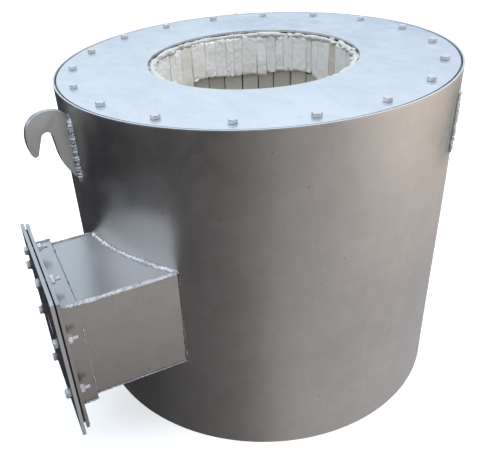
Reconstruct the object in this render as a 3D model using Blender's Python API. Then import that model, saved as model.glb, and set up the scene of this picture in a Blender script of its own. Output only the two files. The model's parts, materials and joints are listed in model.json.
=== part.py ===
"""Round gas forge: a strip-lined drum open at the top, with a square burner duct that enters off-centre.

Metres, +Z up. The origin is the centre of the drum's underside. The duct points along -Y.
"""
import math

import bmesh
import bpy
from mathutils import Matrix, Vector

MM = 0.001
GAP = 0.3 * MM                      # clearance between pieces that touch
ROUND = 72                          # segments round the drum
BOLT_ROUND = 12                     # segments round a bolt and a nut
HOLE_ROUND = 8                      # segments round a bolt's hole

# Drum
DRUM_RADIUS = 350 * MM
DRUM_HEIGHT = 600 * MM
DRUM_WALL = 3 * MM
BASE_THICK = 4 * MM

# Cover ring, the ring welded in under it, and their bolts
PLATE_RECESS = 1.0 * MM             # below the drum's rim
PLATE_THICK = 4 * MM
PLATE_EDGE_GAP = 3.2 * MM           # between the ring's edge and the drum
MOUTH_RADIUS = 186 * MM
SEAT_THICK = 8 * MM
SEAT_INNER_RADIUS = 300 * MM
TOP_BOLTS = 18
BOLT_CIRCLE_RADIUS = 320 * MM
FIRST_BOLT_ANGLE = math.radians(7.5)
BOLT_RADIUS = 4 * MM
BOLT_HOLE_RADIUS = 4.75 * MM
HEAD_ACROSS_FLATS = 13 * MM
HEAD_HEIGHT = 5.8 * MM
TOP_BOLT_LENGTH = 16 * MM
BOLT_TWIST = math.radians(23)       # each head is turned this much from the one before

# Refractory
HEARTH_THICK = 120 * MM
CHAMBER_RADIUS = 190 * MM           # lower tier of strips
THROAT_RADIUS = 174 * MM            # upper tier of strips, proud of the mouth
STRIP_OUTER_RADIUS = 290 * MM
TIER_SPLIT_Z = 513 * MM
LINING_TOP_Z = 593.7 * MM
BACKING_TOP_Z = 578 * MM

# Burner duct, square, off-centre on the drum
DUCT_X = 140 * MM
DUCT_Z = 271.3 * MM
DUCT_HALF_WIDTH = 93.5 * MM
DUCT_HALF_HEIGHT = 91.5 * MM
DUCT_WALL = 3 * MM
FLANGE_FACE_Y = -448.9 * MM         # front of the flange, flush with the duct's end
DUCT_LINING_THICK = 24 * MM
PASSAGE_END_Y = -40 * MM            # how far the flame's way is cut into the strips

# Angle iron round the duct's end
ANGLE_THICK = 5 * MM
ANGLE_SLACK = 0.8 * MM              # loose fit round the duct
ANGLE_DEPTH = 31 * MM               # leg that lies along the duct
ANGLE_LEG = 32 * MM                 # leg that stands out from it

# Gasket and burner plate
GASKET_THICK = 2.2 * MM
GASKET_INSET = 7 * MM
BURNER_PLATE_THICK = 5.5 * MM
BURNER_PLATE_HALF_WIDTH = 125 * MM
BURNER_PLATE_HALF_HEIGHT = 135.5 * MM
BURNER_PLATE_DROP = 6.3 * MM        # its middle below the duct's
BURNER_PLATE_CORNER = 8 * MM
BURNER_HOLE_RADIUS = 18 * MM
PLATE_BOLT_ALONG = 50 * MM          # from the middle of a side
PLATE_BOLT_OUT = 113 * MM           # from the duct's axis to a side's bolts
PLATE_BOLT_TOP_OUT = 116 * MM       # and to the top side's
WASHER_RADIUS = 8.5 * MM
WASHER_THICK = 1.5 * MM
NUT_THICK = 6.5 * MM
SHANK_PROUD = 9 * MM                # bolt end past the nut

# Lifting hooks
HOOK_ANGLES = [math.radians(a) for a in (277.5, 157.5)]
HOOK_THICK = 10 * MM
HOOK_CROWN = (384.5 * MM, 553 * MM)  # middle of the crown: out from the axis, and up
HOOK_CROWN_HALF = (38.5 * MM, 40 * MM)
HOOK_CROWN_POWER = 2.3              # a crown a little squarer than an ellipse
HOOK_TIP = (413.4 * MM, 530 * MM)
HOOK_TIP_RADIUS = 5.2 * MM
HOOK_EYE = (390.5 * MM, 551 * MM)   # middle of the slot's round end
HOOK_EYE_RADIUS = 9.2 * MM
HOOK_NECK = (378.5 * MM, 530 * MM)  # where the stem leaves the slot and curves in to the foot
HOOK_BELLY = (376.5 * MM, 500 * MM)
HOOK_FOOT_Z = 464.5 * MM

MATERIALS = {                       # colour, roughness, metallic
    "drum_steel": ((0.33, 0.32, 0.31), 0.42, 1.0),
    "plate_steel": ((0.62, 0.66, 0.70), 0.38, 1.0),
    "duct_steel": ((0.38, 0.38, 0.38), 0.40, 1.0),
    "dark_steel": ((0.10, 0.10, 0.10), 0.50, 1.0),
    "hook_steel": ((0.36, 0.36, 0.36), 0.45, 1.0),
    "zinc": ((0.75, 0.76, 0.78), 0.28, 1.0),
    "fibre": ((0.74, 0.72, 0.67), 0.95, 0.0),
    "hearth": ((0.62, 0.58, 0.52), 0.95, 0.0),
    "gasket": ((0.05, 0.05, 0.05), 0.90, 0.0),
}


def clear_scene():
    for item in list(bpy.data.objects):
        bpy.data.objects.remove(item, do_unlink=True)


def make_material(name):
    colour, roughness, metallic = MATERIALS[name]
    material = bpy.data.materials.new(name)
    material.use_nodes = True
    shader = material.node_tree.nodes["Principled BSDF"]
    shader.inputs["Base Color"].default_value = (*colour, 1.0)
    shader.inputs["Roughness"].default_value = roughness
    shader.inputs["Metallic"].default_value = metallic
    return material


def material_called(name):
    return bpy.data.materials.get(name) or make_material(name)


def mesh_of(name, shape, material):
    """Ends a bmesh: outward faces, smooth rounds, one material."""
    bmesh.ops.recalc_face_normals(shape, faces=shape.faces)
    mesh = bpy.data.meshes.new(name)
    shape.to_mesh(mesh)
    shape.free()
    mesh.shade_smooth()
    mesh.set_sharp_from_angle(angle=math.radians(35))
    mesh.materials.append(material_called(material))
    return mesh


def place(name, mesh, location=(0, 0, 0), rotation=(0, 0, 0)):
    item = bpy.data.objects.new(name, mesh)
    item.location = location
    item.rotation_euler = rotation
    bpy.context.scene.collection.objects.link(item)
    return item


def make(name, shape, material):
    return place(name, mesh_of(name, shape, material))


def cut(item, *cutters):
    """Takes each shape out of the item. The cutters stay in the file as hidden guides."""
    for number, shape in enumerate(cutters, 1):
        name = f"{item.name}_cutter_{number}"
        guide = place(name, mesh_of(name, shape, "gasket"))
        guide.hide_render = True
        guide.display_type = "WIRE"
        modifier = item.modifiers.new(f"cut_{number}", "BOOLEAN")
        modifier.operation = "DIFFERENCE"
        modifier.solver = "EXACT"
        modifier.object = guide


def arc(centre, radius, start, end, steps):
    """Points on an arc from one angle to another, both in degrees."""
    angles = [math.radians(start + (end - start) * i / steps) for i in range(steps + 1)]
    return [(centre[0] + radius * math.cos(a), centre[1] + radius * math.sin(a)) for a in angles]


def extrude(outline, depth, place_point):
    """A prism: place_point turns a point of the outline and a depth into a place."""
    shape = bmesh.new()
    for level in (0.0, depth):
        ring = [shape.verts.new(place_point(u, v, level)) for u, v in outline]
        shape.faces.new(ring)
    shape.verts.ensure_lookup_table()
    count = len(outline)
    for i in range(count):
        j = (i + 1) % count
        shape.faces.new([shape.verts[k] for k in (i, j, count + j, count + i)])
    return shape


def block(low, high):
    outline = [(low[0], low[1]), (high[0], low[1]), (high[0], high[1]), (low[0], high[1])]
    return extrude(outline, high[2] - low[2], lambda u, v, d: (u, v, low[2] + d))


def rod(radius, low, high, segments, centre=(0.0, 0.0)):
    outline = arc(centre, radius, 0, 360 * (segments - 1) / segments, segments - 1)
    return extrude(outline, high - low, lambda u, v, d: (u, v, low + d))


def band(inner, outer, low, high, segments=ROUND):
    """A round band of rectangular section."""
    shape = bmesh.new()
    profile = [(inner, low), (outer, low), (outer, high), (inner, high)]
    rings = []
    for i in range(segments):
        a = math.tau * i / segments
        rings.append([shape.verts.new((r * math.cos(a), r * math.sin(a), z)) for r, z in profile])
    for i in range(segments):
        here, after = rings[i], rings[(i + 1) % segments]
        for k in range(4):
            n = (k + 1) % 4
            shape.faces.new([here[k], after[k], after[n], here[n]])
    return shape


def merged(shapes):
    """One bmesh out of several that don't touch, used as one cutter."""
    result = bmesh.new()
    for shape in shapes:
        copy = bpy.data.meshes.new("copy")
        shape.to_mesh(copy)
        shape.free()
        result.from_mesh(copy)
        bpy.data.meshes.remove(copy)
    return result


def hexagon(across_flats):
    return arc((0, 0), across_flats / math.sqrt(3), 0, 300, 5)


def add_band(shape, outlines):
    """Skins a stack of outlines with equal counts, given as lists of places, and caps both ends."""
    rings = [[shape.verts.new(p) for p in outline] for outline in outlines]
    shape.faces.new(rings[0])
    shape.faces.new(rings[-1])
    for lower, upper in zip(rings, rings[1:]):
        for i in range(len(lower)):
            j = (i + 1) % len(lower)
            shape.faces.new([lower[i], lower[j], upper[j], upper[i]])


def circle_at(radius, z):
    last = 360 * (BOLT_ROUND - 1) / BOLT_ROUND
    return [Vector((x, y, z)) for x, y in arc((0, 0), radius, 0, last, BOLT_ROUND - 1)]


def hexagon_at(z):
    """A hexagon with a point in the middle of each side, so that it matches a 12-sided circle."""
    corners = [Vector((x, y, z)) for x, y in hexagon(HEAD_ACROSS_FLATS)]
    points = []
    for i, corner in enumerate(corners):
        points += [corner, (corner + corners[(i + 1) % 6]) / 2]
    return points


def bolt_mesh(name, length, washer):
    """A bolt along Z, with its shank below Z = 0 and its head above."""
    shape = bmesh.new()
    base = WASHER_THICK if washer else 0.0
    outlines = [circle_at(BOLT_RADIUS - 0.8 * MM, -length), circle_at(BOLT_RADIUS, 1 * MM - length)]
    outlines.append(circle_at(BOLT_RADIUS, 0))
    if washer:
        outlines += [circle_at(WASHER_RADIUS, 0), circle_at(WASHER_RADIUS, base)]
    outlines += [hexagon_at(base), hexagon_at(base + HEAD_HEIGHT - 0.8 * MM)]
    outlines.append(circle_at(HEAD_ACROSS_FLATS / 2 - 0.2 * MM, base + HEAD_HEIGHT))
    add_band(shape, outlines)
    return mesh_of(name, shape, "zinc")


def nut_mesh(name):
    """A nut along Z from 0 up, with a plain hole that clears the bolt."""
    shape = bmesh.new()
    bore = BOLT_RADIUS + GAP
    stack = [circle_at(bore, 0), hexagon_at(0), hexagon_at(NUT_THICK), circle_at(bore, NUT_THICK)]
    rings = [[shape.verts.new(p) for p in outline] for outline in stack]
    rings.append(rings[0])
    for lower, upper in zip(rings, rings[1:]):
        for i in range(BOLT_ROUND):
            j = (i + 1) % BOLT_ROUND
            shape.faces.new([lower[i], lower[j], upper[j], upper[i]])
    return mesh_of(name, shape, "zinc")


# Drum -------------------------------------------------------------------------------------------

def top_bolt_places():
    angles = [FIRST_BOLT_ANGLE + math.tau * i / TOP_BOLTS for i in range(TOP_BOLTS)]
    return [(BOLT_CIRCLE_RADIUS * math.cos(a), BOLT_CIRCLE_RADIUS * math.sin(a)) for a in angles]


def bolt_holes(low, high):
    return merged([rod(BOLT_HOLE_RADIUS, low, high, HOLE_ROUND, p) for p in top_bolt_places()])


def passage(half_x, half_z, end_y):
    """The burner's way in, as a block from outside the drum to some Y inside it."""
    low = (DUCT_X - half_x, -1.2 * DRUM_RADIUS, DUCT_Z - half_z)
    return block(low, (DUCT_X + half_x, end_y, DUCT_Z + half_z))


def make_drum():
    shell = make("shell", band(DRUM_RADIUS - DRUM_WALL, DRUM_RADIUS, 0, DRUM_HEIGHT), "drum_steel")
    half_x = DUCT_HALF_WIDTH - DUCT_WALL
    half_z = DUCT_HALF_HEIGHT - DUCT_WALL
    cut(shell, passage(half_x, half_z, 0))
    inside = DRUM_RADIUS - DRUM_WALL - GAP
    make("base_plate", rod(inside, 0, BASE_THICK, ROUND), "dark_steel")


def make_cover():
    top = DRUM_HEIGHT - PLATE_RECESS
    under = top - PLATE_THICK
    edge = DRUM_RADIUS - DRUM_WALL - PLATE_EDGE_GAP
    plate = make("top_plate", band(MOUTH_RADIUS, edge, under, top), "plate_steel")
    cut(plate, bolt_holes(under - 1 * MM, top + 1 * MM))
    seat_top = under - GAP
    seat_under = seat_top - SEAT_THICK
    inside = DRUM_RADIUS - DRUM_WALL - GAP
    seat = make("top_ring", band(SEAT_INNER_RADIUS, inside, seat_under, seat_top), "dark_steel")
    cut(seat, bolt_holes(seat_under - 1 * MM, seat_top + 1 * MM))
    mesh = bolt_mesh("top_bolt", TOP_BOLT_LENGTH, washer=False)
    for i, (x, y) in enumerate(top_bolt_places()):
        place(f"top_bolt_{i + 1:02d}", mesh, (x, y, top + GAP), (0, 0, BOLT_TWIST * i))


# Refractory -------------------------------------------------------------------------------------

def make_refractory():
    inside = DRUM_RADIUS - DRUM_WALL - GAP
    floor_low = BASE_THICK + GAP
    floor_top = floor_low + HEARTH_THICK
    make("hearth_floor", rod(inside, floor_low, floor_top, ROUND), "hearth")

    outer_half_x = DUCT_HALF_WIDTH - DUCT_WALL
    outer_half_z = DUCT_HALF_HEIGHT - DUCT_WALL
    blanket = band(STRIP_OUTER_RADIUS + GAP, inside, floor_top + GAP, BACKING_TOP_Z)
    backing = make("backing_blanket", blanket, "fibre")
    cut(backing, passage(outer_half_x, outer_half_z, 0))

    lower = band(CHAMBER_RADIUS, STRIP_OUTER_RADIUS, floor_top + GAP, TIER_SPLIT_Z - GAP)
    lining = make("lining_lower", lower, "fibre")
    flame_x = outer_half_x - GAP - DUCT_LINING_THICK
    flame_z = outer_half_z - GAP - DUCT_LINING_THICK
    cut(lining, passage(flame_x, flame_z, PASSAGE_END_Y))
    make("lining_upper", band(THROAT_RADIUS, STRIP_OUTER_RADIUS, TIER_SPLIT_Z, LINING_TOP_Z), "fibre")


# Burner duct ------------------------------------------------------------------------------------

def drum_cutter(radius):
    return rod(radius, DUCT_Z - 2 * DUCT_HALF_HEIGHT, DUCT_Z + 2 * DUCT_HALF_HEIGHT, ROUND)


def make_duct_sheet(name, low, high):
    """A sheet of the duct, from the flange's face to the drum, in the duct's own X and Z."""
    shape = block((DUCT_X + low[0], FLANGE_FACE_Y, DUCT_Z + low[1]), (DUCT_X + high[0], 0, DUCT_Z + high[1]))
    cut(make(name, shape, "duct_steel"), drum_cutter(DRUM_RADIUS + GAP))


def make_duct():
    w, h, t = DUCT_HALF_WIDTH, DUCT_HALF_HEIGHT, DUCT_WALL
    side = h - t - GAP
    make_duct_sheet("duct_top", (-w, h - t), (w, h))
    make_duct_sheet("duct_bottom", (-w, -h), (w, t - h))
    make_duct_sheet("duct_left", (-w, -side), (t - w, side))
    make_duct_sheet("duct_right", (w - t, -side), (w, side))

    x, z = w - t - GAP, h - t - GAP
    low = (DUCT_X - x, FLANGE_FACE_Y, DUCT_Z - z)
    sleeve = make("duct_lining", block(low, (DUCT_X + x, 0, DUCT_Z + z)), "fibre")
    inner = block(
        (DUCT_X - x + DUCT_LINING_THICK, 1.1 * FLANGE_FACE_Y, DUCT_Z - z + DUCT_LINING_THICK),
        (DUCT_X + x - DUCT_LINING_THICK, 0.1 * DRUM_RADIUS, DUCT_Z + z - DUCT_LINING_THICK),
    )
    cut(sleeve, inner, drum_cutter(STRIP_OUTER_RADIUS + GAP))


def side_frames():
    """For each side of the duct: name, outward direction, direction along it, half sizes across and along."""
    x, z = Vector((1, 0, 0)), Vector((0, 0, 1))
    w, h = DUCT_HALF_WIDTH, DUCT_HALF_HEIGHT
    return [("top", z, x, h, w), ("bottom", -z, x, h, w), ("left", -x, z, w, h), ("right", x, z, w, h)]


def plate_bolt_places():
    """Each bolt's place from the duct's axis, with the side that it is on."""
    places = []
    for name, out, along, _, _ in side_frames():
        reach = PLATE_BOLT_TOP_OUT if name == "top" else PLATE_BOLT_OUT
        for sign in (-1, 1):
            places.append((name, reach * out + sign * PLATE_BOLT_ALONG * along))
    return places


def rod_along_y(radius, place_xz, low, high, segments):
    outline = arc(place_xz, radius, 0, 360 * (segments - 1) / segments, segments - 1)
    return extrude(outline, high - low, lambda u, v, d: (u, low + d, v))


def plate_holes(side, low, high):
    """Bolt holes of one side, or of all four, from one Y to another."""
    wanted = [p for name, p in plate_bolt_places() if side in (name, "all")]
    return merged([
        rod_along_y(BOLT_HOLE_RADIUS, (DUCT_X + p.x, DUCT_Z + p.z), low, high, HOLE_ROUND) for p in wanted
    ])


def make_angle(name, out, along, across, half):
    """A length of angle iron, mitred at both ends, with its heel against the duct."""
    heel = FLANGE_FACE_Y
    back = heel + ANGLE_DEPTH
    inner = ANGLE_SLACK + ANGLE_THICK
    front = heel + ANGLE_THICK
    profile = [(ANGLE_SLACK, heel), (ANGLE_LEG, heel), (ANGLE_LEG, front), (inner, front), (inner, back)]
    profile.append((ANGLE_SLACK, back))
    middle = Vector((DUCT_X, 0, DUCT_Z))
    ends = []
    for sign in (-1, 1):
        reach = [sign * (half + offset - GAP) for offset, _ in profile]
        ends.append([
            middle + out * (across + offset) + along * r + Vector((0, y, 0))
            for (offset, y), r in zip(profile, reach)
        ])
    shape = bmesh.new()
    add_band(shape, ends)
    angle = make(f"flange_angle_{name}", shape, "duct_steel")
    cut(angle, plate_holes(name, heel - 1 * MM, heel + ANGLE_THICK + 1 * MM))


def make_burner_plate():
    front = FLANGE_FACE_Y - GAP - GASKET_THICK
    inner_x, inner_z = DUCT_HALF_WIDTH - DUCT_WALL, DUCT_HALF_HEIGHT - DUCT_WALL
    outer_x = DUCT_HALF_WIDTH + ANGLE_LEG - GASKET_INSET
    outer_z = DUCT_HALF_HEIGHT + ANGLE_LEG - GASKET_INSET
    low = (DUCT_X - outer_x, front, DUCT_Z - outer_z)
    sheet = block(low, (DUCT_X + outer_x, FLANGE_FACE_Y - GAP, DUCT_Z + outer_z))
    window = block((DUCT_X - inner_x, 2 * front, DUCT_Z - inner_z), (DUCT_X + inner_x, 0, DUCT_Z + inner_z))
    cut(make("gasket", sheet, "gasket"), window, plate_holes("all", front - 1 * MM, FLANGE_FACE_Y + 1 * MM))

    back = front - GAP
    face = back - BURNER_PLATE_THICK
    x, z = BURNER_PLATE_HALF_WIDTH - BURNER_PLATE_CORNER, BURNER_PLATE_HALF_HEIGHT - BURNER_PLATE_CORNER
    middle_z = DUCT_Z - BURNER_PLATE_DROP
    outline = []
    for i, (sx, sz) in enumerate([(1, 1), (-1, 1), (-1, -1), (1, -1)]):
        corner = (DUCT_X + sx * x, middle_z + sz * z)
        outline += arc(corner, BURNER_PLATE_CORNER, 90 * i, 90 * i + 90, 4)
    slab = extrude(outline, BURNER_PLATE_THICK, lambda u, v, d: (u, face + d, v))
    plate = make("burner_plate", slab, "dark_steel")
    port = rod_along_y(BURNER_HOLE_RADIUS, (DUCT_X, DUCT_Z), face - 1 * MM, back + 1 * MM, 24)
    cut(plate, port, plate_holes("all", face - 1 * MM, back + 1 * MM))
    return face


def make_plate_bolts(face):
    """Bolts with their heads on the burner plate, and nuts on the back of the flange."""
    nut_y = FLANGE_FACE_Y + ANGLE_THICK + GAP
    length = nut_y + NUT_THICK + SHANK_PROUD - (face - GAP)
    bolt = bolt_mesh("plate_bolt", length, washer=True)
    nut = nut_mesh("plate_nut")
    for i, (_, p) in enumerate(plate_bolt_places()):
        x, z = DUCT_X + p.x, DUCT_Z + p.z
        turn = Matrix.Rotation(math.radians(90), 3, "X") @ Matrix.Rotation(BOLT_TWIST * i, 3, "Z")
        place(f"plate_bolt_{i + 1}", bolt, (x, face - GAP, z), turn.to_euler())
        turn = Matrix.Rotation(math.radians(-90), 3, "X") @ Matrix.Rotation(BOLT_TWIST * (i + 2), 3, "Z")
        place(f"plate_nut_{i + 1}", nut, (x, nut_y, z), turn.to_euler())


# Lifting hooks ----------------------------------------------------------------------------------

def hook_outline():
    """The hook in its own plane: out from the drum's axis, and up. It runs clockwise from the foot."""
    edge = DRUM_RADIUS * math.cos(math.pi / ROUND) + GAP    # the drum's flats are a little inside its radius
    foot = (edge, HOOK_FOOT_Z)
    points = [foot]
    for cos, sin in arc((0, 0), 1, 149, -14, 14):
        u, v = (math.copysign(abs(t) ** (2 / HOOK_CROWN_POWER), t) for t in (cos, sin))
        points.append((HOOK_CROWN[0] + HOOK_CROWN_HALF[0] * u, HOOK_CROWN[1] + HOOK_CROWN_HALF[1] * v))
    points += arc(HOOK_TIP, HOOK_TIP_RADIUS, -12, -168, 6)
    points += arc(HOOK_EYE, HOOK_EYE_RADIUS, 15, 170, 7)
    for step in range(5):
        t = step / 5
        near, middle, far = (1 - t) ** 2, 2 * t * (1 - t), t**2
        points.append(tuple(near * a + middle * b + far * c for a, b, c in zip(HOOK_NECK, HOOK_BELLY, foot)))
    return [(max(x, edge), z) for x, z in points]


def make_hooks():
    outline = hook_outline()
    shape = extrude(outline, HOOK_THICK, lambda u, v, d: (u, d - HOOK_THICK / 2, v))
    mesh = mesh_of("lifting_hook", shape, "hook_steel")
    for i, angle in enumerate(HOOK_ANGLES):
        place(f"lifting_hook_{i + 1}", mesh, rotation=(0, 0, angle))


clear_scene()
make_drum()
make_cover()
make_refractory()
make_duct()
for side_name, outward, sideways, across_half, along_half in side_frames():
    make_angle(side_name, outward, sideways, across_half, along_half)
make_plate_bolts(make_burner_plate())
make_hooks()
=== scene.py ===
"""Gas forge: the visible model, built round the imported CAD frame.

Metres, +Z up, the drum's axis on Z and the duct along -Y.
"""
import json
import random
from itertools import accumulate, product
from math import acos, atan2, copysign, cos, degrees, exp, hypot, pi, radians, sin, sqrt, tau

import bmesh
import bpy
from mathutils import Matrix, Vector, noise

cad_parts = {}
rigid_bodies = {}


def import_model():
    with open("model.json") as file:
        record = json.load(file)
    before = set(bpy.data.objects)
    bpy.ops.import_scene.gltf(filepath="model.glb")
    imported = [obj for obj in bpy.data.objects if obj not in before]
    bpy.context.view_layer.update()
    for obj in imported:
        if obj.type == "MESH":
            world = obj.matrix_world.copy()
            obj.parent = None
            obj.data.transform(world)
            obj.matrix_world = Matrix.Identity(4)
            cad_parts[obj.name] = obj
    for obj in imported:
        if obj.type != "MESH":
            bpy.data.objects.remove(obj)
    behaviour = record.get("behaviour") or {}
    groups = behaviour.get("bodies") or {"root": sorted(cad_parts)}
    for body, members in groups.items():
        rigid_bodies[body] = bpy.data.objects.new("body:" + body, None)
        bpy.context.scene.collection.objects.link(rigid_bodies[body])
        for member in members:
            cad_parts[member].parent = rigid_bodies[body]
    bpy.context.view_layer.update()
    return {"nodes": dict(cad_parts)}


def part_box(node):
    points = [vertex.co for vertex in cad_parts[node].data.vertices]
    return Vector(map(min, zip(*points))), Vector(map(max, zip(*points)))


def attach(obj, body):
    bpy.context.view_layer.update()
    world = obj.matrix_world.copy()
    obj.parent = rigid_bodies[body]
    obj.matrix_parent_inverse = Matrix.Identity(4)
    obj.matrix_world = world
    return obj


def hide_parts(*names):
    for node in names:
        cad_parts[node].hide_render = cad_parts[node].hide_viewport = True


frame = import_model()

MM = 0.001
SHOWN = bpy.context.scene.collection.objects

# Sizes read from the frame ----


def size_of(node):
    low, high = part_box(node)
    return Vector(low), Vector(high)


DRUM_RADIUS, DRUM_TOP = size_of("shell")[1].xz
PLATE_LOW, PLATE_HIGH = size_of("top_plate")
UPPER_TOP = size_of("lining_upper")[1].z
LOWER_LOW, LOWER_HIGH = size_of("lining_lower")
STRIP_BACK = LOWER_HIGH.x + 0.2 * MM
WOOL_Z = UPPER_TOP - 2.6 * MM           # middle of the loose wool
DUCT_LOW = Vector((size_of("duct_left")[0].x, 0, size_of("duct_bottom")[0].z))
DUCT_HIGH = Vector((size_of("duct_right")[1].x, 0, size_of("duct_top")[1].z))
DUCT_WALL = DUCT_HIGH.z - size_of("duct_top")[0].z
DUCT_X, DUCT_Z = ((DUCT_LOW + DUCT_HIGH) / 2).xz
DUCT_HALF_X, DUCT_HALF_Z = ((DUCT_HIGH - DUCT_LOW) / 2).xz
COLLAR_BACK_Y = size_of("flange_angle_top")[1].y

# Sizes that a box can't give, the same as in the CAD model
DRUM_WALL = 3 * MM
MOUTH_RADIUS = 186 * MM
BOLT_HOLE_RADIUS = 4.75 * MM
THROAT_RADIUS = 174 * MM
CHAMBER_RADIUS = 190 * MM
ANGLE_THICK = 5 * MM
ANGLE_SLACK = 0.8 * MM
BOLT_RADIUS = 4 * MM
HEAD_ACROSS_FLATS = 13 * MM
HEAD_CORNER = HEAD_ACROSS_FLATS / sqrt(3)
CHAMFER_RADIUS = 0.47 * HEAD_ACROSS_FLATS
HEAD_HEIGHT = 5.8 * MM
WASHER_RADIUS = 8.5 * MM
WASHER_THICK = 1.5 * MM
NUT_THICK = 6.5 * MM
TOP_BOLTS = 18
HOOK_ANGLES = [radians(a) for a in (277.5, 157.5)]
BARE_WELD_ANGLE = radians(37.5)    # a bead with no hook on it
HOOK_THICK = 10 * MM
HOOK_CROWN, HOOK_CROWN_HALF, HOOK_CROWN_POWER = (384.5 * MM, 553 * MM), (38.5 * MM, 40 * MM), 2.3
HOOK_TIP, HOOK_TIP_RADIUS = (413.4 * MM, 530 * MM), 5.2 * MM
HOOK_EYE, HOOK_EYE_RADIUS = (390.5 * MM, 551 * MM), 9.2 * MM
HOOK_NECK, HOOK_BELLY = (378.5 * MM, 530 * MM), (376.5 * MM, 500 * MM)
HOOK_FOOT_Z, HOOK_SHOULDER_Z = 464.5 * MM, 573 * MM
DUCT_LINING_THICK = 24 * MM
PASSAGE_END_Y = -40 * MM

# Mesh helpers ----


def mesh_object(name, shape, material, smooth_angle=40):
    """A scene object from a bmesh, smooth but for edges sharper than an angle in degrees."""
    bmesh.ops.recalc_face_normals(shape, faces=shape.faces)
    mesh = bpy.data.meshes.new(name)
    shape.to_mesh(mesh)
    shape.free()
    mesh.shade_smooth()
    mesh.set_sharp_from_angle(angle=radians(smooth_angle))
    mesh.materials.append(material)
    item = bpy.data.objects.new(name, mesh)
    SHOWN.link(item)
    return item


def settle(item, slot, *nodes):
    """Rides the piece on the body and hides the CAD nodes that it stands for. The slot for its finish is
    not used.
    """
    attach(item, "root")
    if nodes:
        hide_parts(*nodes)


def bevel(item, width, segments=2, angle=40):
    modifier = item.modifiers.new("edge", "BEVEL")
    modifier.width = width
    modifier.segments = segments
    modifier.limit_method = "ANGLE"
    modifier.angle_limit = radians(angle)


def applied(item, smooth_angle=40):
    """Bakes the item's modifiers into its mesh."""
    graph = bpy.context.evaluated_depsgraph_get()
    mesh = bpy.data.meshes.new_from_object(item.evaluated_get(graph))
    item.modifiers.clear()
    item.data = mesh
    mesh.shade_smooth()
    mesh.set_sharp_from_angle(angle=radians(smooth_angle))
    return item


def discard(item):
    bpy.data.objects.remove(item, do_unlink=True)


def combine(item, other, operation="DIFFERENCE"):
    """Joins, cuts or intersects the item with another, which is then deleted."""
    modifier = item.modifiers.new("combine", "BOOLEAN")
    modifier.operation = operation
    modifier.solver = "EXACT"
    modifier.object = other
    applied(item)
    discard(other)
    return item


def polar(radius, azimuth, z=0.0):
    return Vector((radius * cos(azimuth), radius * sin(azimuth), z))


def radial(p):
    return Vector((p.x, p.y, 0)).normalized()


def paint(item, name, values):
    """Writes a value at each of the item's points, for its material to read."""
    layer = item.data.attributes.new(name, "FLOAT", "POINT")
    layer.data.foreach_set("value", values)


def arc(centre, radius, start, end, steps):
    angles = [radians(start + (end - start) * i / steps) for i in range(steps + 1)]
    return [(centre[0] + radius * cos(a), centre[1] + radius * sin(a)) for a in angles]


def circle(radius, count, centre=(0, 0)):
    return arc(centre, radius, 0, 360 * (count - 1) / count, count - 1)


def prism(outline, low, high, place=lambda u, v, w: (u, v, w)):
    shape = bmesh.new()
    ends = [[shape.verts.new(place(u, v, w)) for u, v in outline] for w in (low, high)]
    for ring in ends:
        shape.faces.new(ring)
    bridge(shape, ends)
    return shape


def bridge(shape, rings):
    """Faces between each ring of points and the next."""
    for lower, upper in zip(rings, rings[1:]):
        for i in range(len(lower)):
            j = (i + 1) % len(lower)
            shape.faces.new([lower[i], lower[j], upper[j], upper[i]])


def lathe(profile, count, closed=True):
    """Turns a profile of (radius, height) round Z. A closed profile gives a ring, an open one is capped."""
    shape = bmesh.new()
    rings = [[shape.verts.new((x, y, z)) for x, y in circle(r, count)] for r, z in profile]
    if closed:
        rings.append(rings[0])
    else:
        shape.faces.new(rings[0])
        shape.faces.new(rings[-1])
    bridge(shape, rings)
    return shape


def spin(shape, angle):
    """Turns the shape round the drum's axis."""
    bmesh.ops.rotate(shape, verts=shape.verts, matrix=Matrix.Rotation(angle, 3, "Z"))


def join_into(target, source):
    """Adds the source bmesh's faces to the target's."""
    copy = bpy.data.meshes.new("copy")
    source.to_mesh(copy)
    source.free()
    target.from_mesh(copy)
    bpy.data.meshes.remove(copy)


# Material helpers ----


class Graph:
    """A node graph with short names for what this scene uses."""

    def __init__(self, owner):
        owner.use_nodes = True
        self.nodes = owner.node_tree.nodes
        self.links = owner.node_tree.links

    def add(self, kind, settings=None, **inputs):
        node = self.nodes.new("ShaderNode" + kind)
        for key, value in (settings or {}).items():
            setattr(node, key, value)
        for key, value in inputs.items():
            self.feed(node.inputs[key.replace("_", " ")], value)
        return node

    def feed(self, socket, value):
        if isinstance(value, bpy.types.NodeSocket):
            self.links.new(value, socket)
        else:
            socket.default_value = value

    def ramp(self, factor, *stops, blend="LINEAR"):
        """A colour or grey for each stop of (position, value)."""
        node = self.add("ValToRGB", Fac=factor)
        ramp = node.color_ramp
        ramp.interpolation = blend
        while len(ramp.elements) < len(stops):
            ramp.elements.new(0.5)
        for element, (position, value) in zip(ramp.elements, stops):
            element.position = position
            rgb = value if isinstance(value, tuple) else (value, value, value)
            element.color = (*rgb, 1.0)
        return node.outputs["Color"]

    def mix(self, factor, first, second):
        node = self.add("Mix", {"data_type": "RGBA"})
        for socket, value in zip((node.inputs[0], node.inputs[6], node.inputs[7]), (factor, first, second)):
            self.feed(socket, (*value, 1.0) if isinstance(value, tuple) and len(value) == 3 else value)
        return node.outputs[2]

    def times(self, first, second):
        return self.math("MULTIPLY", first, second)

    def math(self, operation, first, second=0.0, third=0.0):
        node = self.add("Math", {"operation": operation})
        for socket, value in zip(node.inputs, (first, second, third)):
            self.feed(socket, value)
        return node.outputs[0]


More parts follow.
